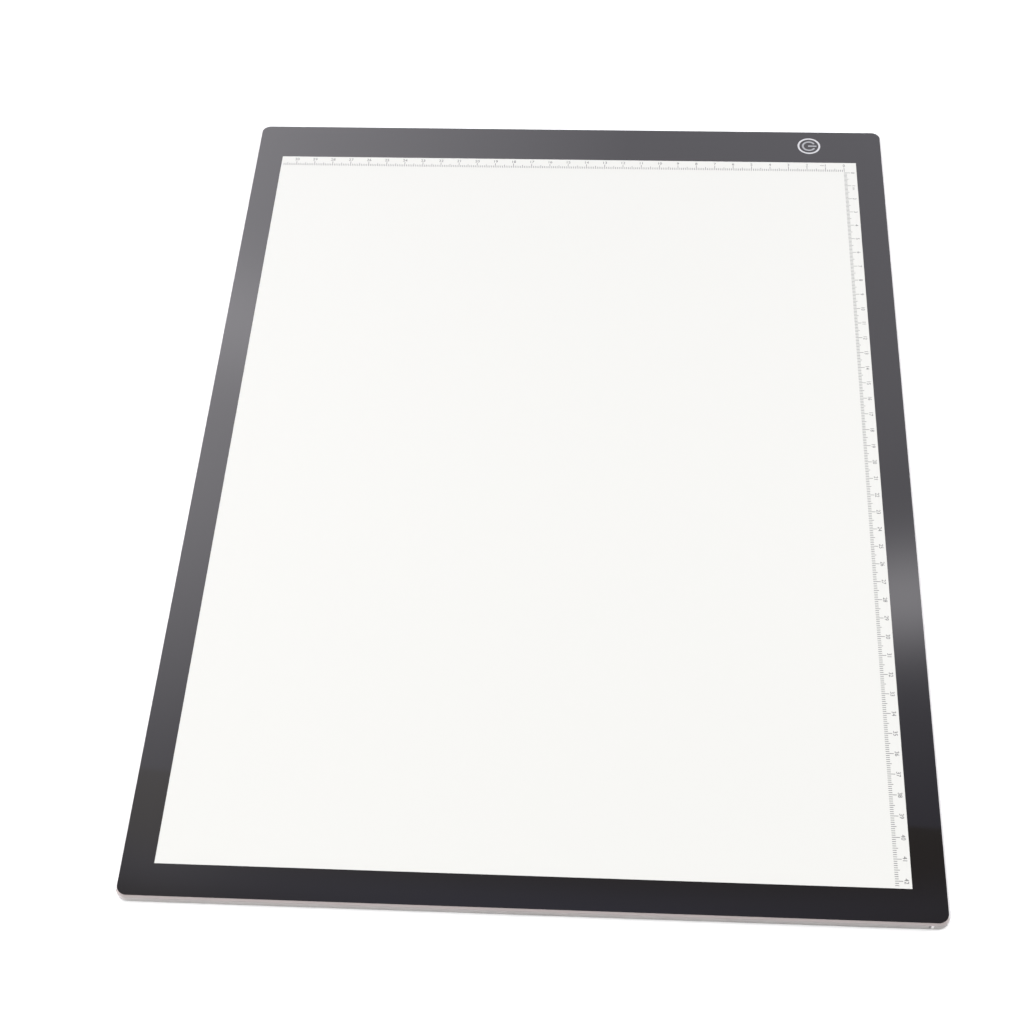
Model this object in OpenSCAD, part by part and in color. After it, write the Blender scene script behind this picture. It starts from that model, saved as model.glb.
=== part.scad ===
// Thin A3 LED tracing pad: a printed opal panel over an edge-lit light guide, glued into a shallow
// frame of acrylic strips. X runs across the pad, Y runs from the near edge to the key edge and Z is
// up. The origin is on the table, under the middle of the pad.

/* [Overall] */
// Width across the pad
pad_w = 344.6; // [336:0.2:356]
// Length from the near edge to the key edge
pad_l = 471.6; // [461:0.2:486]
// Radius of the four corners
corner_r = 5.3; // [3.5:0.1:6.5]
// Width of the bare sloping rim outside the black border
rim_w = 0.8; // [0.4:0.1:1]

/* [Black border] */
// Width of the border along each long side
border_side = 14; // [12:0.5:18]
// Width of the border along the near edge
border_near = 14.8; // [12:0.2:18]
// Width of the border along the key edge
border_far = 24.2; // [23:0.2:30]
// Thickness of the black film
film_t = 0.1; // [0.06:0.02:0.2]
// How far the film stands above the panel in the window
film_proud = 0.02; // [0:0.01:0.04]

/* [Layers] */
// Thickness of the opal front panel
panel_t = 1; // [0.8:0.1:2]
// Thickness of each adhesive tape
tape_t = 0.1; // [0.05:0.05:0.2]
// Thickness of the diffuser sheet
diffuser_t = 0.2; // [0.2:0.05:0.5]
// Thickness of the light guide plate
guide_t = 2; // [2:0.1:3]
// Thickness of the reflector sheet
reflector_t = 0.2; // [0.2:0.05:0.4]
// Thickness of the back cover
cover_t = 0.5; // [0.4:0.1:1.5]

/* [Edge strips] */
// Width of the two full-length side strips
side_strip_w = 8.1; // [7.3:0.1:9.5]
// Width of the strip along the near edge
near_strip_w = 8.1; // [6.8:0.1:9.5]
// Width of the strips along the key edge
far_strip_w = 4; // [3:0.5:4]

/* [Touch key] */
// Distance from the right side to the middle of the key
key_from_side = 39.7; // [33:0.1:50]
// Distance from the key edge to the middle of the key
key_from_far = 11.9; // [11.8:0.1:12.8]
// Outer diameter of the key's printed ring
key_ring_d = 12.4; // [11:0.1:13]
// Outer diameter of the symbol's open circle
key_arc_d = 7.6; // [6:0.1:8.5]
// Width of the printed lines
key_line = 1; // [0.6:0.1:1.2]
// Opening of the symbol's circle, in degrees
key_gap = 60; // [40:5:80]

/* [Light source] */
// Number of LEDs along the key edge
led_count = 60; // [30:1:70]
// Length of one LED
led_w = 4; // [3:0.1:4]
// Height of one LED
led_h = 1.4; // [1:0.1:1.6]
// Depth of one LED
led_d = 0.7; // [0.6:0.1:1]

/* [Power socket] */
// Distance from the right side to the middle of the socket
socket_from_side = 62.8; // [60.8:1:64.8]
// Width of the socket's metal shell
socket_w = 7.5; // [7:0.1:8]
// Height of the socket's metal shell
socket_h = 2.3; // [2.2:0.1:2.4]
// Depth of the socket's metal shell
socket_d = 6; // [5.5:0.1:6.5]

/* [Feet and label] */
// Diameter of a rubber foot
foot_d = 10; // [8:1:14]
// Height of a rubber foot
foot_h = 0.5; // [0.4:0.1:1.5]
// Distance from a corner foot's middle to the two edges beside it
foot_inset = 18; // [12:1:30]
// Width of the blank label on the back
label_w = 60; // [40:1:90]
// Length of the blank label on the back
label_l = 30; // [20:1:40]

/* [Hidden] */

$fn = 64;
cut = 1;                 // how far a cutting shape runs past what it cuts
sheet_gap = 0.3;         // play around the sheets inside the frame
tape_inset = 0.3;        // how far the tapes stop short of the outside
label_t = 0.1;
rim_h = 0.5;             // how far the rim slopes down

// Heights, from the table up. The edge strips and their two tapes are as high as the three sheets.
stack_h = reflector_t + guide_t + diffuser_t;
strip_h = stack_h - 2 * tape_t;
cover_z = foot_h;
inside_z = cover_z + cover_t;
guide_z = inside_z + reflector_t;
diffuser_z = guide_z + guide_t;
panel_z = inside_z + stack_h;
film_z = panel_z + panel_t;

// Plan of the frame's inside and of the window in the border
in_x = pad_w / 2 - side_strip_w;
in_near = -pad_l / 2 + near_strip_w;
in_far = pad_l / 2 - far_strip_w;
print_w = pad_w - 2 * rim_w;
print_l = pad_l - 2 * rim_w;
win_x = print_w / 2 - border_side;
win_near = -print_l / 2 + border_near;
win_far = print_l / 2 - border_far;

// The light guide reaches a little past the window, then come the LEDs and their board
guide_overlap = 4;
led_gap = 0.2;
led_board_t = 0.8;
led_board_end = 2;       // bare board past the outermost LEDs
led_board_clear = 0.2;   // gap above the board that carries the LEDs
phosphor_rim = 0.25;
phosphor_d = 0.4;
guide_far = win_far + guide_overlap;
led_y = guide_far + led_gap;
led_board_y = led_y + led_d;
led_span = 2 * win_x - 4;
led_pitch = (led_span - led_w) / (led_count - 1);
led_mid_z = guide_z + guide_t / 2;

// Control board, under the wide border
board_w = 55;
board_t = 0.8;
board_gap = 1;           // from the LED board to the control board
board_lift = 0.4;        // thickness of the foam tape under it
board_key_x = 18.4;      // from the middle of the key to the board's right end
key_x = pad_w / 2 - key_from_side;
key_y = pad_l / 2 - key_from_far;
board_right = key_x + board_key_x;
board_left = board_right - board_w;
board_near = led_board_y + led_board_t + board_gap;
board_far = in_far - 0.5;
board_z = inside_z + board_lift;
parts_z = board_z + board_t;

// Power socket
socket_x = pad_w / 2 - socket_from_side;
socket_recess = 0.2;
socket_front = pad_l / 2 - socket_recess;
socket_back = socket_front - socket_d;
socket_z = inside_z + stack_h / 2;
socket_wall = 0.2;
socket_chamfer = 1;
socket_block_d = 1.5;    // solid plastic at the back of the socket
tongue_w = 3.7;
tongue_h = 0.6;
tongue_short = 0.6;      // how far the tongue stops inside the mouth
contact_w = 0.35;
contact_t = 0.1;
contact_pitch = 0.65;
mouth_side_gap = 0.35;
mouth_w = socket_w + 2 * mouth_side_gap;
leg_w = 1.2;
leg_t = 0.25;

// Wires from the control board to the LED board, around the control board's right end
wire_d = 0.8;
wire_bend_r = 1.5;
wire_z = parts_z + wire_d / 2;
joint_w = 1.2;
joint_t = 0.4;
joint_x = board_right - 0.5 - joint_w;

// ---- Plane shapes ----

module corner_waste(r) {
    difference() {
        square(r + cut);
        circle(r);
    }
}

module rounded_plate(w, l, r) {
    difference() {
        square([w, l], center = true);
        for (turn = [0, 1])
            rotate(180 * turn) {
                translate([w / 2 - r, l / 2 - r]) corner_waste(r);
                translate([r - w / 2, l / 2 - r]) rotate(90) corner_waste(r);
            }
    }
}

// A rounded plate of height h whose sides lean in by rim
module sloping_plate(w, l, r, rim, h) {
    for (x = [r - w / 2, w / 2 - r], y = [r - l / 2, l / 2 - r])
        translate([x, y, 0]) cylinder(r1 = r, r2 = r - rim, h = h);
    rotate([90, 0, 0]) linear_extrude(l - 2 * r, center = true) sloping_side(w, rim, h);
    rotate([90, 0, 90]) linear_extrude(w - 2 * r, center = true) sloping_side(l, rim, h);
}

module sloping_side(w, rim, h) {
    polygon([[-w / 2, 0], [w / 2, 0], [w / 2 - rim, h], [rim - w / 2, h]]);
}

// A rectangle given by its low and high corners
module span(x0, y0, x1, y1) {
    translate([x0, y0]) square([x1 - x0, y1 - y0]);
}

module ring(outer_r, line) {
    difference() {
        circle(outer_r);
        circle(outer_r - line);
    }
}

// Power sign: a ring, an open circle inside it and a bar through the opening, which faces +X
module power_sign() {
    arc_mid_r = (key_arc_d - key_line) / 2;
    reach = key_arc_d;
    ring(key_ring_d / 2, key_line);
    difference() {
        ring(key_arc_d / 2, key_line);
        polygon([
            [0, 0],
            [reach, -reach * tan(key_gap / 2)],
            [reach, reach * tan(key_gap / 2)]
        ]);
    }
    translate([-key_line / 2, -key_line / 2]) square([arc_mid_r + 1.3 * key_line, key_line]);
}

// Frame-shaped tape, open where the power socket passes through the key edge
module tape_outline() {
    difference() {
        rounded_plate(pad_w - 2 * tape_inset, pad_l - 2 * tape_inset, corner_r - tape_inset);
        span(-in_x, in_near, in_x, in_far);
        span(socket_x - mouth_w / 2, in_far - cut, socket_x + mouth_w / 2, pad_l / 2 + cut);
    }
}

// ---- Top ----

module border_film() {
    color([0.09, 0.09, 0.1])
        translate([0, 0, film_z]) linear_extrude(film_t)
            difference() {
                rounded_plate(print_w, print_l, corner_r - rim_w);
                span(-win_x, win_near, win_x, win_far);
                translate([key_x, key_y]) power_sign();
            }
}

module power_symbol() {
    color([0.86, 0.86, 0.88])
        translate([key_x, key_y, film_z]) linear_extrude(film_t) power_sign();
}

// The panel's rim slopes down to its edge. The panel is rebated under the film, so that the window
// lies almost level with the border.
module front_panel() {
    color([0.96, 0.96, 0.95]) {
        translate([0, 0, panel_z]) linear_extrude(panel_t - rim_h)
            rounded_plate(pad_w, pad_l, corner_r);
        translate([0, 0, film_z - rim_h]) sloping_plate(pad_w, pad_l, corner_r, rim_w, rim_h);
        translate([0, 0, film_z]) linear_extrude(film_t - film_proud)
            span(-win_x, win_near, win_x, win_far);
    }
}

// ---- Frame of strips and tapes ----

module front_tape() {
    color([0.85, 0.84, 0.83])
        translate([0, 0, panel_z - tape_t]) linear_extrude(tape_t) tape_outline();
}

module right_edge_strip() {
    color([0.76, 0.73, 0.72])
        translate([0, 0, inside_z + tape_t]) linear_extrude(strip_h)
            intersection() {
                rounded_plate(pad_w, pad_l, corner_r);
                span(in_x, -pad_l / 2 - cut, pad_w / 2 + cut, pad_l / 2 + cut);
            }
}

module left_edge_strip() {
    mirror([1, 0, 0]) right_edge_strip();
}

module cross_strip(x0, y0, x1, y1) {
    color([0.76, 0.73, 0.72])
        translate([0, 0, inside_z + tape_t]) linear_extrude(strip_h) span(x0, y0, x1, y1);
}

module near_edge_strip() {
    cross_strip(-in_x, -pad_l / 2, in_x, in_near);
}

module far_edge_strip_long() {
    cross_strip(-in_x, in_far, socket_x - mouth_w / 2, pad_l / 2);
}

module far_edge_strip_short() {
    cross_strip(socket_x + mouth_w / 2, in_far, in_x, pad_l / 2);
}

module back_tape() {
    color([0.85, 0.84, 0.83])
        translate([0, 0, inside_z]) linear_extrude(tape_t) tape_outline();
}

// ---- Underside ----

module back_cover() {
    color([0.93, 0.93, 0.92])
        translate([0, 0, cover_z]) linear_extrude(cover_t)
            rounded_plate(pad_w, pad_l, corner_r);
}

module rubber_feet() {
    edge = 0.3;
    foot_x = pad_w / 2 - foot_inset;
    foot_y = pad_l / 2 - foot_inset;
    color([0.16, 0.16, 0.17])
        for (x = [-foot_x, foot_x], y = [-foot_y, 0, foot_y])
            translate([x, y, 0]) rotate_extrude()
                polygon([
                    [0, 0],
                    [foot_d / 2 - edge, 0],
                    [foot_d / 2, edge],
                    [foot_d / 2, foot_h],
                    [0, foot_h]
                ]);
}

module rating_label() {
    label_y = pad_l / 4;
    color([0.8, 0.81, 0.82])
        translate([0, label_y, cover_z - label_t]) linear_extrude(label_t)
            rounded_plate(label_w, label_l, 2);
}

// ---- Sheets that spread the light ----

module light_sheet(z, t) {
    translate([0, 0, z]) linear_extrude(t)
        span(-in_x + sheet_gap, in_near + sheet_gap, in_x - sheet_gap, guide_far);
}

module diffuser_sheet() {
    color([0.97, 0.97, 0.97]) light_sheet(diffuser_z, diffuser_t);
}

module light_guide_plate() {
    color([0.85, 0.93, 0.93]) light_sheet(guide_z, guide_t);
}

module reflector_sheet() {
    color([1, 1, 1]) light_sheet(inside_z, reflector_t);
}

// ---- Light source ----

module led_strip_board() {
    half = led_span / 2 + led_board_end;
    color([0.95, 0.95, 0.93])
        translate([-half, led_board_y, inside_z])
            cube([2 * half, led_board_t, stack_h - led_board_clear]);
}

// Puts a shape at each LED's low front corner
module at_leds() {
    for (i = [0 : led_count - 1])
        translate([-led_span / 2 + i * led_pitch, led_y, led_mid_z - led_h / 2]) children();
}

module phosphor_space(depth) {
    cube([led_w - 2 * phosphor_rim, depth, led_h - 2 * phosphor_rim]);
}

module led_bodies() {
    color([0.94, 0.94, 0.92])
        at_leds() difference() {
            cube([led_w, led_d, led_h]);
            translate([phosphor_rim, -cut, phosphor_rim]) phosphor_space(cut + phosphor_d);
        }
}

module led_phosphors() {
    color([0.95, 0.85, 0.35])
        at_leds() translate([phosphor_rim, 0, phosphor_rim]) phosphor_space(phosphor_d);
}

// ---- Electronics under the wide border ----

module control_board() {
    notch_clear = 0.15;
    color([0.1, 0.4, 0.22])
        translate([0, 0, board_z]) linear_extrude(board_t)
            difference() {
                span(board_left, board_near, board_right, board_far);
                span(socket_x - socket_w / 2 - notch_clear, socket_back - notch_clear,
                     socket_x + socket_w / 2 + notch_clear, board_far + cut);
            }
}

module board_tape() {
    margin = 2;
    left_pad_w = 5;
    right_pad_x = socket_x + socket_w / 2 + 3;
    color([0.3, 0.3, 0.32])
        translate([0, 0, inside_z]) linear_extrude(board_lift) {
            span(board_left + margin, board_near + margin,
                 board_left + margin + left_pad_w, board_far - margin);
            span(right_pad_x, board_near + margin, board_right - margin, board_far - margin);
        }
}

// Mouth of the socket: flat on top, with its two lower corners cut off
module socket_profile(w, h, c) {
    polygon([
        [-w / 2, h / 2],
        [-w / 2, -h / 2 + c],
        [-w / 2 + c, -h / 2],
        [w / 2 - c, -h / 2],
        [w / 2, -h / 2 + c],
        [w / 2, h / 2]
    ]);
}

// Stands a plane shape up at the socket's back and draws it out towards the key edge
module along_socket(depth) {
    translate([socket_x, socket_back, socket_z])
        rotate([90, 0, 180]) linear_extrude(depth) children();
}

module socket_space(depth) {
    along_socket(depth)
        socket_profile(socket_w - 2 * socket_wall, socket_h - 2 * socket_wall,
                       socket_chamfer - socket_wall / 2);
}

module socket_shell() {
    leg_l = board_far - socket_back;
    color([0.78, 0.78, 0.8]) {
        difference() {
            along_socket(socket_d) socket_profile(socket_w, socket_h, socket_chamfer);
            translate([0, -cut, 0]) socket_space(socket_d + 2 * cut);
        }
        for (side = [-1, 1])
            translate([socket_x + side * (socket_w / 2 + leg_w / 2 - socket_wall / 2),
                       socket_back + leg_l / 2, parts_z + leg_t / 2])
                cube([leg_w + socket_wall, leg_l, leg_t], center = true);
    }
}

module socket_tongue() {
    tongue_l = socket_d - socket_block_d - tongue_short;
    tongue_z = socket_z + 0.1;
    color([0.12, 0.12, 0.13]) {
        socket_space(socket_block_d);
        translate([socket_x - tongue_w / 2, socket_back + socket_block_d, tongue_z])
            cube([tongue_w, tongue_l, tongue_h]);
    }
}

module socket_contacts() {
    contact_l = socket_d - socket_block_d - 2 * tongue_short;
    tongue_z = socket_z + 0.1;
    color([0.85, 0.7, 0.35])
        for (i = [-2 : 2])
            translate([socket_x + i * contact_pitch - contact_w / 2,
                       socket_back + socket_block_d, tongue_z - contact_t])
                cube([contact_w, contact_l, contact_t]);
}

module touch_pad() {
    touch_pad_d = 8;
    color([0.45, 0.45, 0.47])
        translate([key_x, key_y, parts_z])
            cylinder(d = touch_pad_d, h = panel_z - parts_z);
}

// Chip with square pins along its two long sides
module chip(w, l, h, left_pins, right_pins, pitch) {
    pin = 0.35;
    pin_reach = 0.5;
    pin_t = 0.2;
    translate([-w / 2, -l / 2, 0]) cube([w, l, h]);
    for (row = [[1, right_pins], [-1, left_pins]])
        for (i = [0 : row[1] - 1])
            translate([row[0] * (w / 2 + pin_reach / 2),
                       (i - (row[1] - 1) / 2) * pitch * 2 / max(row[1] - 1, 1), pin_t / 2])
                cube([pin_reach, pin, pin_t], center = true);
}

module touch_chip() {
    color([0.13, 0.13, 0.14])
        translate([key_x + 9, key_y + 2.2, parts_z]) chip(1.6, 2.9, 1.1, 3, 3, 0.95);
}

module dimming_transistor() {
    color([0.13, 0.13, 0.14])
        translate([key_x + 13.8, key_y + 3.2, parts_z]) chip(1.3, 2.9, 1, 1, 2, 0.95);
}

module chip_capacitors() {
    size = [2, 1.25, 0.9];
    color([0.7, 0.58, 0.42])
        for (step = [0 : 1])
            translate([socket_x + 6.5, board_near + 3 + step * 3, parts_z]) cube(size);
}

module chip_resistors() {
    size = [0.8, 1.6, 0.45];
    pitch = 1.7;
    color([0.15, 0.15, 0.17])
        for (step = [0 : 4])
            translate([key_x + 6.5 + step * pitch, board_near + 1, parts_z]) cube(size);
}

// A wire from its joint on the LED board, out past the control board's end and back onto it
module led_wire(pad_x, board_y) {
    start_y = led_board_y + led_board_t + joint_t;
    bend_x = pad_x - wire_bend_r;
    bend_y = board_y - wire_bend_r;
    end_x = joint_x + joint_w;
    translate([pad_x, start_y, wire_z]) rotate([-90, 0, 0])
        cylinder(d = wire_d, h = bend_y - start_y);
    translate([bend_x, bend_y, wire_z]) rotate_extrude(angle = 90)
        translate([wire_bend_r, 0]) circle(d = wire_d);
    translate([end_x, board_y, wire_z]) rotate([0, 90, 0])
        cylinder(d = wire_d, h = bend_x - end_x);
}

near_wire = [board_right + 2.6, board_near + 4];
far_wire = [board_right + 4.6, board_near + 6.4];

module negative_wire() {
    color([0.1, 0.1, 0.1]) led_wire(near_wire[0], near_wire[1]);
}

module positive_wire() {
    color([0.75, 0.08, 0.06]) led_wire(far_wire[0], far_wire[1]);
}

module solder_joints() {
    color([0.75, 0.75, 0.76])
        for (wire = [near_wire, far_wire]) {
            translate([wire[0] - joint_w / 2, led_board_y + led_board_t, wire_z - joint_w / 2])
                cube([joint_w, joint_t, joint_w]);
            translate([joint_x, wire[1] - joint_w / 2, parts_z])
                cube([joint_w, joint_w, wire_d]);
        }
}

border_film();
power_symbol();
front_panel();
front_tape();
left_edge_strip();
right_edge_strip();
near_edge_strip();
far_edge_strip_long();
far_edge_strip_short();
back_tape();
back_cover();
rubber_feet();
rating_label();
diffuser_sheet();
light_guide_plate();
reflector_sheet();
led_strip_board();
led_bodies();
led_phosphors();
control_board();
board_tape();
socket_shell();
socket_tongue();
socket_contacts();
touch_pad();
touch_chip();
dimming_transistor();
chip_capacitors();
chip_resistors();
positive_wire();
negative_wire();
solder_joints();
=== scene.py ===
"""Looks of a thin A3 LED tracing pad: materials, printed rulers, floor, lights and camera."""
import math

import bpy
from mathutils import Matrix, Vector


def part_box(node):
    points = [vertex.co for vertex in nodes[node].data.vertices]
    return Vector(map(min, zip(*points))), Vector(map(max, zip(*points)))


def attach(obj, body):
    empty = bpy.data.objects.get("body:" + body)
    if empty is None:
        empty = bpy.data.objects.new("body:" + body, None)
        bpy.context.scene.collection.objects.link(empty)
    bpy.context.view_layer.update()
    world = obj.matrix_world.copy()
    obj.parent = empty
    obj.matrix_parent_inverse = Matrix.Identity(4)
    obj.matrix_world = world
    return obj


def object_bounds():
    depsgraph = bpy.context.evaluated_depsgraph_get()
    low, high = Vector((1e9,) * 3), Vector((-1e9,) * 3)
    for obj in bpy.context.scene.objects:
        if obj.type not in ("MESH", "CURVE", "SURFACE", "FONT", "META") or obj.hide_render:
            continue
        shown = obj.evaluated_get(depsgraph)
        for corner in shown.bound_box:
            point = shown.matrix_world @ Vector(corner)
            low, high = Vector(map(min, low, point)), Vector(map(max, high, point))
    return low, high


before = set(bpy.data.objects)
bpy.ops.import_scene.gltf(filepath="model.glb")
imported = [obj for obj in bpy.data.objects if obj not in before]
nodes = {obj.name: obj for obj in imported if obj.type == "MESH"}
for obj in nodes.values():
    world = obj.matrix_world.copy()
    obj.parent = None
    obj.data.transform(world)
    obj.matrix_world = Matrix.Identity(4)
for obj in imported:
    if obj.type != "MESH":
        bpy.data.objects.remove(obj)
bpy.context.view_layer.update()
scene = bpy.context.scene
MM = 0.001


# ---- Node helpers ----

class Shader:
    """A material or world node tree that is built by short calls."""

    def __init__(self, owner):
        owner.use_nodes = True
        self.tree = owner.node_tree
        self.tree.nodes.clear()

    def add(self, kind, settings=None, **inputs):
        node = self.tree.nodes.new("ShaderNode" + kind)
        for name, value in (settings or {}).items():
            setattr(node, name, value)
        for name, value in inputs.items():
            self.put(node.inputs[name.replace("_", " ")], value)
        return node

    def put(self, socket, value):
        if isinstance(value, bpy.types.NodeSocket):
            self.tree.links.new(value, socket)
        else:
            socket.default_value = value

    def math(self, operation, a, b=0.0, clamp=False):
        node = self.add("Math", {"operation": operation, "use_clamp": clamp})
        self.put(node.inputs[0], a)
        self.put(node.inputs[1], b)
        return node.outputs[0]

    def noise(self, scale, detail):
        place = self.add("TexCoord").outputs["Object"]
        return self.add("TexNoise", Vector=place, Scale=scale, Detail=detail).outputs["Fac"]

    def remap(self, value, low, high, to_low, to_high, **settings):
        node = self.add("MapRange", settings)
        self.put(node.inputs["Value"], value)
        for name, number in (("From Min", low), ("From Max", high),
                             ("To Min", to_low), ("To Max", to_high)):
            node.inputs[name].default_value = number
        return node.outputs["Result"]

    def mix(self, factor, low, high):
        """A colour that runs from low to high as factor goes from 0 to 1."""
        node = self.add("Mix", {"data_type": "RGBA"})
        self.put(node.inputs["Factor"], factor)
        # The colour sockets share their names with the number sockets, so they go by place.
        for socket, value in ((node.inputs[6], low), (node.inputs[7], high)):
            self.put(socket, value)
        return node.outputs[2]

    def stripe(self, base, x, half, colour):
        """Blends a soft stripe of a colour over base, round one X place in the frame."""
        place = self.add("TexCoord").outputs["Object"]
        across = self.add("SeparateXYZ", Vector=place).outputs["X"]
        away = self.math("ABSOLUTE", self.math("DIVIDE", self.math("SUBTRACT", across, x), half))
        near = self.math("SUBTRACT", 1.0, away, clamp=True)
        return self.mix(self.math("MULTIPLY", near, 2.0, clamp=True), base, (*colour, 1.0))

    def bump(self, height, strength, distance):
        return self.add("Bump", Height=height, Strength=strength,
                        Distance=distance).outputs["Normal"]


PLASTIC_IOR = 1.49
BUMP_DEPTH = 0.02 * MM
WIDE_GRAIN = 12              # how many times coarser the slow variation is than the fine grain


def material(name, colour, spread, grain, roughness, rough_spread=0.0, bump=0.0,
             metallic=0.0, specular=0.5, marks=()):
    """A plastic, rubber, metal or print: colour and gloss vary a little over a fine grain.

    marks holds upright stripes of another colour as (x, half width, colour).
    """
    made = bpy.data.materials.new(name)
    sh = Shader(made)
    fine = sh.noise(grain, detail=6.0)
    wide = sh.noise(grain / WIDE_GRAIN, detail=3.0)
    mixed = sh.math("ADD", sh.math("MULTIPLY", wide, 0.5), sh.math("MULTIPLY", fine, 0.5),
                    clamp=True)
    dark = [c * (1 - spread) for c in colour]
    light = [min(1.0, c * (1 + spread)) for c in colour]
    base = sh.mix(mixed, (*dark, 1.0), (*light, 1.0))
    for x, half, mark_colour in marks:
        base = sh.stripe(base, x, half, mark_colour)
    bsdf = sh.add("BsdfPrincipled", Base_Color=base, Roughness=roughness, Metallic=metallic,
                  IOR=PLASTIC_IOR, Specular_IOR_Level=specular)
    if rough_spread:
        sh.put(bsdf.inputs["Roughness"],
               sh.remap(wide, 0.3, 0.7, roughness - rough_spread, roughness + rough_spread))
    if bump:
        sh.put(bsdf.inputs["Normal"], sh.bump(fine, bump, BUMP_DEPTH))
    out = sh.add("OutputMaterial")
    sh.put(out.inputs["Surface"], bsdf.outputs["BSDF"])
    return made


# ---- Materials of the CAD nodes ----

BORDER_BLACK = (0.0118, 0.0102, 0.0092)
WINDOW_WHITE = (0.578, 0.578, 0.545)
RIM_TINT = (0.405, 0.360, 0.350)
# The next rim colour is a paler copy of the one above: a painted sheen for the rim faces that turn
# to the sides.
RIM_PAINTED_SHEEN = (0.52, 0.51, 0.51)
STRIP_TINT = (0.385, 0.356, 0.345)
COVER_EDGE = (0.36, 0.345, 0.335)
# The next two colours are painted shade and a painted glint at the joint between two strips.
JOINT_PAINTED_SHADE = (0.16, 0.15, 0.145)
JOINT_PAINTED_GLINT = (0.85, 0.83, 0.82)

# At the right end of the near strip, a dark stripe of painted shade and then a bright stripe of
# painted glint stand in for the light caught at the joint.
joint_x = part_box("near_edge_strip")[1].x
JOINT_PAINTED_LIGHT = [(joint_x - 0.5 * MM, 0.6 * MM, JOINT_PAINTED_SHADE),
               (joint_x + 0.6 * MM, 0.7 * MM, JOINT_PAINTED_GLINT)]

finishes = {
    "border": material("border_black", BORDER_BLACK, 0.06, 900, 0.02, 0.004),
    "symbol": material("symbol_silver", (0.46, 0.46, 0.468), 0.03, 1500, 0.12, 0.02),
    "symbol_inner": material("symbol_grey", (0.27, 0.275, 0.285), 0.03, 1500, 0.12, 0.02),
    "panel": material("panel_opal", WINDOW_WHITE, 0.002, 5000, 0.3, 0.01, bump=0.04,
                      specular=0.25),
    # The strips carry the painted shade and painted glint stripes at the joint.
    "strip": material("strip_frosted", STRIP_TINT, 0.05, 2500, 0.38, 0.06, bump=0.25,
                      marks=JOINT_PAINTED_LIGHT),
    "tape": material("tape_clear", (0.62, 0.58, 0.56), 0.05, 2500, 0.5, 0.05),
    "panel_side": material("panel_rim_polished", RIM_TINT, 0.03, 2500, 0.16, 0.04, bump=0.1),
    # A painted sheen: the rim faces that turn left, right and away get this paler copy of the rim's
    # tint.
    "panel_rim": material("panel_rim_painted_sheen", RIM_PAINTED_SHEEN, 0.03, 2500, 0.16, 0.04, bump=0.1),
    "cover_side": material("cover_side_matt", COVER_EDGE, 0.04, 3500, 0.5, 0.05, bump=0.35),
    "cover": material("cover_white", (0.80, 0.80, 0.785), 0.02, 4000, 0.48, 0.05, bump=0.35),
    "rubber": material("rubber_black", (0.022, 0.022, 0.024), 0.2, 3000, 0.7, 0.06, bump=0.5),
    "label": material("label_grey", (0.55, 0.56, 0.57), 0.02, 2500, 0.35, 0.03),
    "diffuser": material("diffuser_film", (0.86, 0.86, 0.86), 0.01, 3000, 0.55, 0.05),
    "guide": material("guide_acrylic", (0.72, 0.80, 0.79), 0.02, 1200, 0.12, 0.03),
    "reflector": material("reflector_film", (0.88, 0.88, 0.88), 0.01, 3000, 0.5, 0.05),
    "white_mask": material("board_white", (0.78, 0.78, 0.74), 0.03, 3000, 0.35, 0.05),
    "resin": material("led_resin", (0.80, 0.80, 0.76), 0.02, 6000, 0.4, 0.05),
    "phosphor": material("led_phosphor", (0.82, 0.60, 0.08), 0.06, 8000, 0.3, 0.05),
    "green_mask": material("board_green", (0.02, 0.13, 0.045), 0.1, 3000, 0.3, 0.05),
    "foam": material("foam_grey", (0.09, 0.09, 0.095), 0.3, 5000, 0.9, 0.05, bump=0.8),
    "steel": material("socket_steel", (0.62, 0.62, 0.63), 0.04, 4000, 0.28, 0.05, metallic=1.0),
    "chip": material("chip_black", (0.02, 0.02, 0.022), 0.15, 6000, 0.5, 0.06, bump=0.3),
    "gilt": material("contact_gilt", (0.83, 0.62, 0.25), 0.04, 8000, 0.22, 0.04, metallic=1.0),
    "ceramic": material("capacitor_tan", (0.36, 0.25, 0.14), 0.08, 8000, 0.5, 0.05),
    "resistor": material("resistor_black", (0.025, 0.025, 0.03), 0.1, 8000, 0.4, 0.05),
    "red": material("sleeve_red", (0.46, 0.015, 0.01), 0.05, 6000, 0.4, 0.05),
    "black": material("sleeve_black", (0.018, 0.018, 0.018), 0.05, 6000, 0.4, 0.05),
    "solder": material("solder_bright", (0.66, 0.66, 0.67), 0.05, 6000, 0.2, 0.05, metallic=1.0),
}

NODE_FINISH = {
    "border_film": "border", "power_symbol": "symbol", "front_panel": "panel",
    "front_tape": "tape", "back_tape": "tape", "left_edge_strip": "strip",
    "right_edge_strip": "strip", "near_edge_strip": "strip",
    "far_edge_strip_long": "strip", "far_edge_strip_short": "strip",
    "back_cover": "cover", "rubber_feet": "rubber", "rating_label": "label",
    "diffuser_sheet": "diffuser", "light_guide_plate": "guide",
    "reflector_sheet": "reflector", "led_strip_board": "white_mask",
    "led_bodies": "resin", "led_phosphors": "phosphor", "control_board": "green_mask",
    "board_tape": "foam", "socket_shell": "steel", "socket_tongue": "chip",
    "socket_contacts": "gilt", "touch_pad": "foam", "touch_chip": "chip",
    "dimming_transistor": "chip", "chip_capacitors": "ceramic",
    "chip_resistors": "resistor", "positive_wire": "red", "negative_wire": "black",
    "solder_joints": "solder",
}


def dress(node_name, finish):
    mesh = nodes[node_name].data
    mesh.materials.clear()
    mesh.materials.append(finishes[finish])
    for face in mesh.polygons:
        face.material_index = 0


def dress_where(node_name, finish, chosen):
    """Gives the faces for which chosen(face) is true a finish of their own."""
    mesh = nodes[node_name].data
    mesh.materials.append(finishes[finish])
    for face in mesh.polygons:
        if chosen(face):
            face.material_index = len(mesh.materials) - 1


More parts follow.
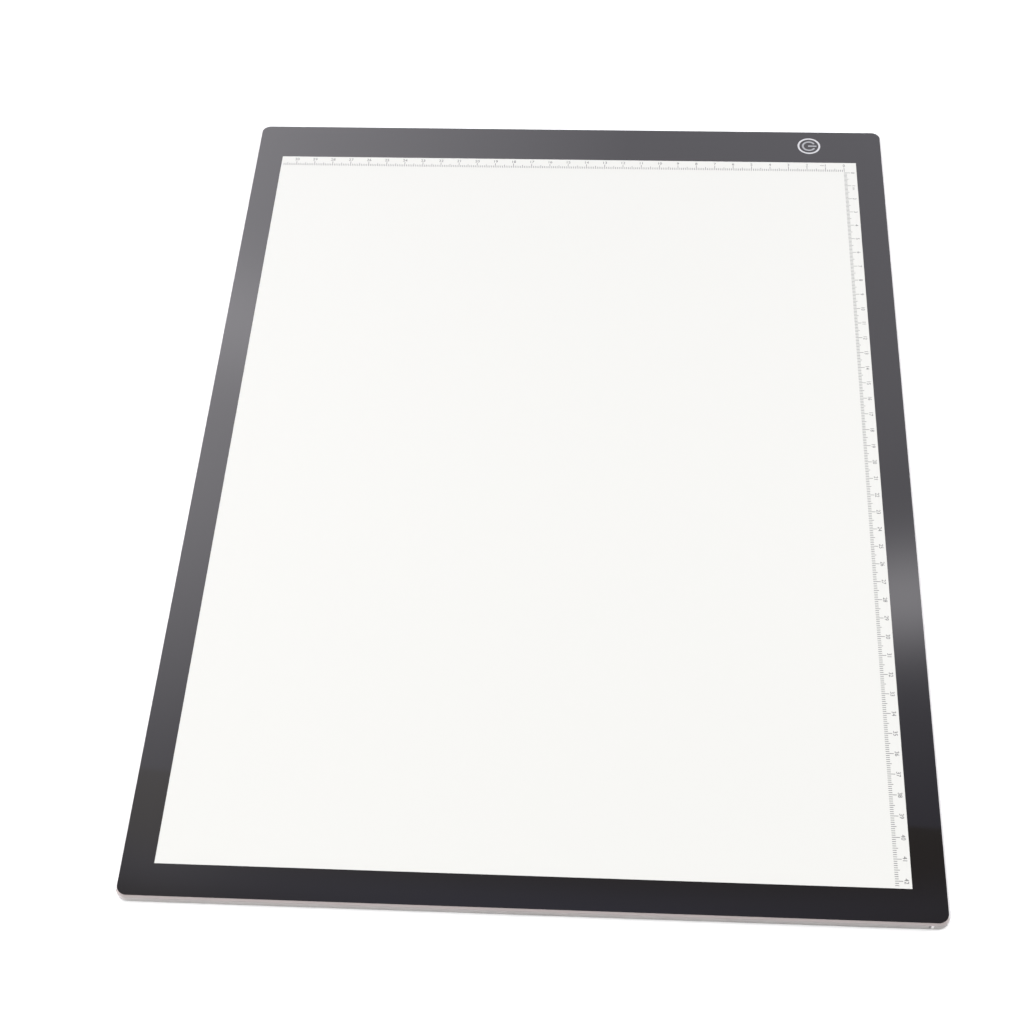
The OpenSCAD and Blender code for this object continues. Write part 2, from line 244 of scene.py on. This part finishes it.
def soften(node_name, radius):
    """Rounds a CAD node's sharp edges by a bevel, after joining its split corners."""
    piece = nodes[node_name]
    weld = piece.modifiers.new("weld", "WELD")
    weld.merge_threshold = 0.001 * MM
    bevel = piece.modifiers.new("edge", "BEVEL")
    bevel.width = radius
    bevel.segments = 2
    bevel.limit_method = "ANGLE"
    bevel.angle_limit = math.radians(50)


RIM_STEEPNESS = 0.95         # faces of the panel whose normal rises less than this are its rim
NEAR_FACING = -0.2           # rim faces that look towards the near edge
INNER_SHARE = 0.75           # of the ring's radius: the circle and the bar lie inside this


def on_rim(face):
    return abs(face.normal.z) < RIM_STEEPNESS


for node_name, finish in NODE_FINISH.items():
    dress(node_name, finish)
# Rim faces that turn left, right or away get the paler copy, a painted sheen where side light would
# catch them; those that look towards the near edge keep the darker tint.
dress_where("front_panel", "panel_rim", on_rim)
dress_where("front_panel", "panel_side",
            lambda face: on_rim(face) and face.normal.y < NEAR_FACING)
dress_where("back_cover", "cover_side", lambda face: abs(face.normal.z) < 0.5)

# The symbol's inner circle and bar are printed fainter than the ring round them.
symbol_low, symbol_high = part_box("power_symbol")
key_middle = (symbol_low + symbol_high) / 2
ring_inside = INNER_SHARE * (symbol_high.x - symbol_low.x) / 2
dress_where("power_symbol", "symbol_inner",
            lambda face: (face.center - key_middle).xy.length < ring_inside)

SOFT_EDGES = {
    "back_cover": 0.15 * MM,
    "left_edge_strip": 0.1 * MM, "right_edge_strip": 0.1 * MM,
    "near_edge_strip": 0.1 * MM, "far_edge_strip_long": 0.1 * MM,
    "far_edge_strip_short": 0.1 * MM,
}
for node_name, radius in SOFT_EDGES.items():
    soften(node_name, radius)


# ---- Places, taken from the frame ----

pad_low, pad_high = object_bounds()
film_low, film_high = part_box("border_film")
print_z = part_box("front_panel")[1].z

BORDER_LEAST = 5 * MM        # less than the border's width at the sides
KEY_BAND = 22 * MM           # the band along the far edge that holds the key's openings


def window_corner():
    """X and Y of the window's far right corner: the border film's outermost inner points."""
    inner = [v.co for v in nodes["border_film"].data.vertices
             if film_low.x + BORDER_LEAST < v.co.x < film_high.x - BORDER_LEAST
             and film_low.y + BORDER_LEAST < v.co.y < film_high.y - KEY_BAND]
    return max(p.x for p in inner), max(p.y for p in inner)


win_right, win_far = window_corner()


# ---- Printed rulers ----

INK_THICK = 0.012 * MM
LINE_W = 0.26 * MM
SCALE_BASE = 6.9 * MM        # from the window's edge to the foot of the marks
CM_MARK, HALF_MARK, MM_MARK = 3.4 * MM, 2.3 * MM, 1.6 * MM
DIGIT_H = 1.9 * MM
DIGIT_MID = 2.05 * MM        # from the window's edge to the middle of the digits
CAP_SHARE = 0.72             # height of the built-in font's digits at size 1

ink = material("ruler_ink", (0.07, 0.07, 0.072), 0.1, 4000, 0.35, 0.05)


def bar(verts, faces, x0, y0, x1, y1):
    """Adds a thin raised bar of ink between two corners."""
    first = len(verts)
    for z in (print_z, print_z + INK_THICK):
        verts += [(x0, y0, z), (x1, y0, z), (x1, y1, z), (x0, y1, z)]
    for quad in ((0, 3, 2, 1), (4, 5, 6, 7),
                 (0, 1, 5, 4), (1, 2, 6, 5), (2, 3, 7, 6), (3, 0, 4, 7)):
        faces.append([first + i for i in quad])


def add_mesh(name, verts, faces, finish):
    mesh = bpy.data.meshes.new(name)
    mesh.from_pydata(verts, [], faces)
    mesh.materials.append(finish)
    piece = bpy.data.objects.new(name, mesh)
    scene.collection.objects.link(piece)
    return piece


def mark_length(mm):
    if mm % 10 == 0:
        return CM_MARK
    return HALF_MARK if mm % 5 == 0 else MM_MARK


def ruler_marks(name, zero, edge, last_mm, along_x):
    """Millimetre marks, one bar each, that run back from zero beside one edge of the window."""
    verts, faces = [], []
    foot = edge - SCALE_BASE
    for mm in range(last_mm + 1):
        place = zero - mm * MM
        tip = edge - (SCALE_BASE - mark_length(mm))
        if along_x:
            bar(verts, faces, place - LINE_W / 2, foot, place + LINE_W / 2, tip)
        else:
            bar(verts, faces, foot, place - LINE_W / 2, tip, place + LINE_W / 2)
    return add_mesh(name, verts, faces, ink)


def glyphs(word, height):
    """Vertices and faces of a word in the built-in font, centred on the origin, as a thin solid."""
    curve = bpy.data.curves.new("word", "FONT")
    curve.body = word
    curve.size = height / CAP_SHARE
    curve.align_x = "CENTER"
    curve.extrude = INK_THICK / 2
    curve.resolution_u = 3
    holder = bpy.data.objects.new("word", curve)
    scene.collection.objects.link(holder)
    bpy.context.view_layer.update()
    mesh = holder.evaluated_get(bpy.context.evaluated_depsgraph_get()).to_mesh()
    verts = [(v.co.x, v.co.y - height / 2, v.co.z) for v in mesh.vertices]
    faces = [list(f.vertices) for f in mesh.polygons]
    bpy.data.objects.remove(holder)
    bpy.data.curves.remove(curve)
    return verts, faces


def ruler_words(name, words, turn):
    """One mesh of several printed words: (text, x, y, height) each. turn is in degrees."""
    verts, faces = [], []
    spin = Matrix.Rotation(math.radians(turn), 3, "Z")
    for text, x, y, height in words:
        first = len(verts)
        word_verts, word_faces = glyphs(text, height)
        for co in word_verts:
            p = spin @ Vector(co)
            verts.append((p.x + x, p.y + y, p.z + print_z + INK_THICK / 2))
        faces += [[first + i for i in face] for face in word_faces]
    return add_mesh(name, verts, faces, ink)


CM = 10 * MM
LONG_CM = 42
SHORT_CM = 30
LONG_EXTRA_MM = 2            # marks past the last number
SHORT_EXTRA_MM = 7
LONG_ZERO_OFF = 7.7 * MM     # from the window's corner to the first mark
SHORT_ZERO_OFF = 6.6 * MM
UNIT_H = 1.3 * MM
LONG_UNIT_OFF = 2.2 * MM     # from the number 1 to the unit after it
SHORT_UNIT_OFF = 1.7 * MM

long_zero = win_far - LONG_ZERO_OFF
short_zero = win_right - SHORT_ZERO_OFF
long_line = win_right - DIGIT_MID
short_line = win_far - DIGIT_MID

long_marks = ruler_marks("long_ruler_marks", long_zero, win_right,
                         10 * LONG_CM + LONG_EXTRA_MM, along_x=False)
short_marks = ruler_marks("short_ruler_marks", short_zero, win_far,
                          10 * SHORT_CM + SHORT_EXTRA_MM, along_x=True)

long_words = [(str(cm), long_line, long_zero - cm * CM, DIGIT_H) for cm in range(LONG_CM + 1)]
long_words.append(("cm", long_line, long_zero - CM - LONG_UNIT_OFF, UNIT_H))
short_words = [(str(cm), short_zero - cm * CM, short_line, DIGIT_H) for cm in range(SHORT_CM + 1)]
short_words.append(("cm", short_zero - CM - SHORT_UNIT_OFF, short_line, UNIT_H))
long_numbers = ruler_words("long_ruler_numbers", long_words, -90)
short_numbers = ruler_words("short_ruler_numbers", short_words, 0)

for piece in (long_marks, short_marks, long_numbers, short_numbers):
    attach(piece, "root")


# ---- Floor ----

FLOOR_HALF = 2.5
floor_corners = [(-FLOOR_HALF, -FLOOR_HALF, 0), (FLOOR_HALF, -FLOOR_HALF, 0),
                 (FLOOR_HALF, FLOOR_HALF, 0), (-FLOOR_HALF, FLOOR_HALF, 0)]
floor_finish = material("floor_white", (0.97, 0.97, 0.97), 0.004, 3, 0.9, specular=0.0)
floor = add_mesh("floor", floor_corners, [[0, 1, 2, 3]], floor_finish)
floor.location.z = pad_low.z


# ---- Light: a studio that is bright beyond the far edge and dark overhead ----

# The glossy border mirrors this studio, so its patches are given by the X and Y parts of the
# direction they lie in: X to the right, Y beyond the far edge.
WALL_TINT = (1.0, 0.975, 1.008)
CEILING_TINT = (0.5, 0.58, 1.0)
CEILING_BASE = 0.02
FADE_START, FADE_END = 0.402, 0.66        # Y where the ceiling ends and where the wall is full
FADE_SKEW = 0.12
WALL_MIDDLE, WALL_SLOPE = 1.55, 9.0       # strength in the middle, and how fast it grows leftward
WALL_LEAST, WALL_MOST = 1.57, 3.7
EDGE_NORMAL = (0.043, 0.880, -0.472)      # across a straight edge high up on the ceiling
EDGE_HALF = 0.0008
EDGE_STEP = 0.36                          # how much lighter the ceiling is beyond that edge
EDGE_FADE_START, EDGE_FADE_END = 0.4, 0.62

# Patches: X, Y, width in X, width in Y, strength.
WALL_GLOWS = [
    (-0.2, 0.661, 0.08, 0.024, 1.15),
    (0.145, 0.561, 0.05, 0.023, 3.1),
    (-0.235, 0.44, 0.04, 0.03, 0.35),
    (0.8, 0.25, 0.12, 0.45, 1.5),         # a tall soft window that gives the right rim its shine
]
CEILING_GLOW = (-0.05, 0.424, 0.26, 0.014, 0.47)

world = bpy.data.worlds.new("studio")
scene.world = world
sky = Shader(world)
direction = sky.add("SeparateXYZ", Vector=sky.add("TexCoord").outputs["Generated"])
dx, dy, dz = direction.outputs["X"], direction.outputs["Y"], direction.outputs["Z"]


def blob(x, y, width_x, width_y, strength):
    """A soft patch of light round one direction."""
    along_x = sky.math("DIVIDE", sky.math("SUBTRACT", dx, x), width_x)
    along_y = sky.math("DIVIDE", sky.math("SUBTRACT", dy, y), width_y)
    reach = sky.math("ADD", sky.math("MULTIPLY", along_x, along_x),
                     sky.math("MULTIPLY", along_y, along_y))
    return sky.math("MULTIPLY", sky.math("POWER", math.e, sky.math("MULTIPLY", reach, -1.0)),
                    strength)


def total(parts):
    """The sum of a list of sockets."""
    result = parts[0]
    for part in parts[1:]:
        result = sky.math("ADD", result, part)
    return result


beyond = sky.math("SUBTRACT", dy, sky.math("MULTIPLY", dx, FADE_SKEW))
wall_share = sky.remap(beyond, FADE_START, FADE_END, 0.0, 1.0, interpolation_type="SMOOTHSTEP")
wall_strength = sky.math("SUBTRACT", WALL_MIDDLE, sky.math("MULTIPLY", dx, WALL_SLOPE))
wall_strength = sky.math("MINIMUM", sky.math("MAXIMUM", wall_strength, WALL_LEAST), WALL_MOST)
wall = sky.math("MULTIPLY", wall_strength, wall_share)
bright = sky.math("ADD", wall, total([blob(*glow) for glow in WALL_GLOWS]))

over_edge = total([sky.math("MULTIPLY", part, share)
                   for part, share in zip((dx, dy, dz), EDGE_NORMAL)])
step = sky.remap(over_edge, -EDGE_HALF, EDGE_HALF, 0.0, EDGE_STEP)
sideways = sky.math("ABSOLUTE", dx)
step = sky.math("MULTIPLY", step,
                sky.remap(sideways, EDGE_FADE_START, EDGE_FADE_END, 1.0, 0.0))
dim = sky.math("ADD", sky.math("ADD", step, CEILING_BASE), blob(*CEILING_GLOW))


def background(colour, strength):
    return sky.add("Background", Color=(*colour, 1.0), Strength=strength).outputs["Background"]


studio = sky.add("AddShader")
sky.put(studio.inputs[0], background(WALL_TINT, bright))
sky.put(studio.inputs[1], background(CEILING_TINT, dim))
# Seen directly, past the floor's edge, the studio is a plain pale backdrop.
seen = sky.add("MixShader", Fac=sky.add("LightPath").outputs["Is Camera Ray"])
sky.put(seen.inputs[1], studio.outputs["Shader"])
sky.put(seen.inputs[2], background((1.0, 1.0, 1.0), 1.2))
world_out = sky.add("OutputWorld")
sky.put(world_out.inputs["Surface"], seen.outputs["Shader"])


def softbox(name, place, aim, width, height, power):
    lamp = bpy.data.lights.new(name, "AREA")
    lamp.shape = "RECTANGLE"
    lamp.size = width
    lamp.size_y = height
    lamp.energy = power
    holder = bpy.data.objects.new(name, lamp)
    holder.location = place
    holder.rotation_mode = "QUATERNION"
    holder.rotation_quaternion = (Vector(aim) - Vector(place)).to_track_quat("-Z", "Y")
    scene.collection.objects.link(holder)
    return holder


softbox("overhead", (0.0, -0.3, 1.95), (0, 0, 0), 2.2, 1.2, 37)
# The side lights only fill, and are not mirrored in the border.
for side_light in (softbox("left_side", (-1.3, -0.6, 0.2), (0, -0.235, 0), 0.8, 0.3, 18),
                   softbox("right_side", (1.3, 0.4, 0.4), (0.17, 0.1, 0), 2.1, 0.5, 14)):
    side_light.visible_glossy = False


# ---- Camera: beyond the near edge, a little right of the middle, looking down at the pad ----

CAMERA_LENS = 67.24
CAMERA_PLACE = Vector((36.3, -574.5, 724.95)) * MM    # from the middle of the pad's top
CAMERA_DOWN = 53.053                                  # degrees below level
CAMERA_LEFT = 5.626                                   # degrees to the left of the far edge
CAMERA_ROLL = -3.188

camera_data = bpy.data.cameras.new("camera")
camera_data.lens = CAMERA_LENS
camera_data.sensor_width = 36.0
camera_data.clip_start = 0.01
camera_data.clip_end = 50.0
camera = bpy.data.objects.new("camera", camera_data)
turn = (Matrix.Rotation(math.radians(CAMERA_LEFT), 4, "Z")
        @ Matrix.Rotation(math.radians(90 - CAMERA_DOWN), 4, "X")
        @ Matrix.Rotation(math.radians(CAMERA_ROLL), 4, "Z"))
camera.matrix_world = Matrix.Translation(CAMERA_PLACE + Vector((0, 0, pad_high.z))) @ turn
scene.collection.objects.link(camera)
scene.camera = camera
scene.view_settings.view_transform = "Standard"
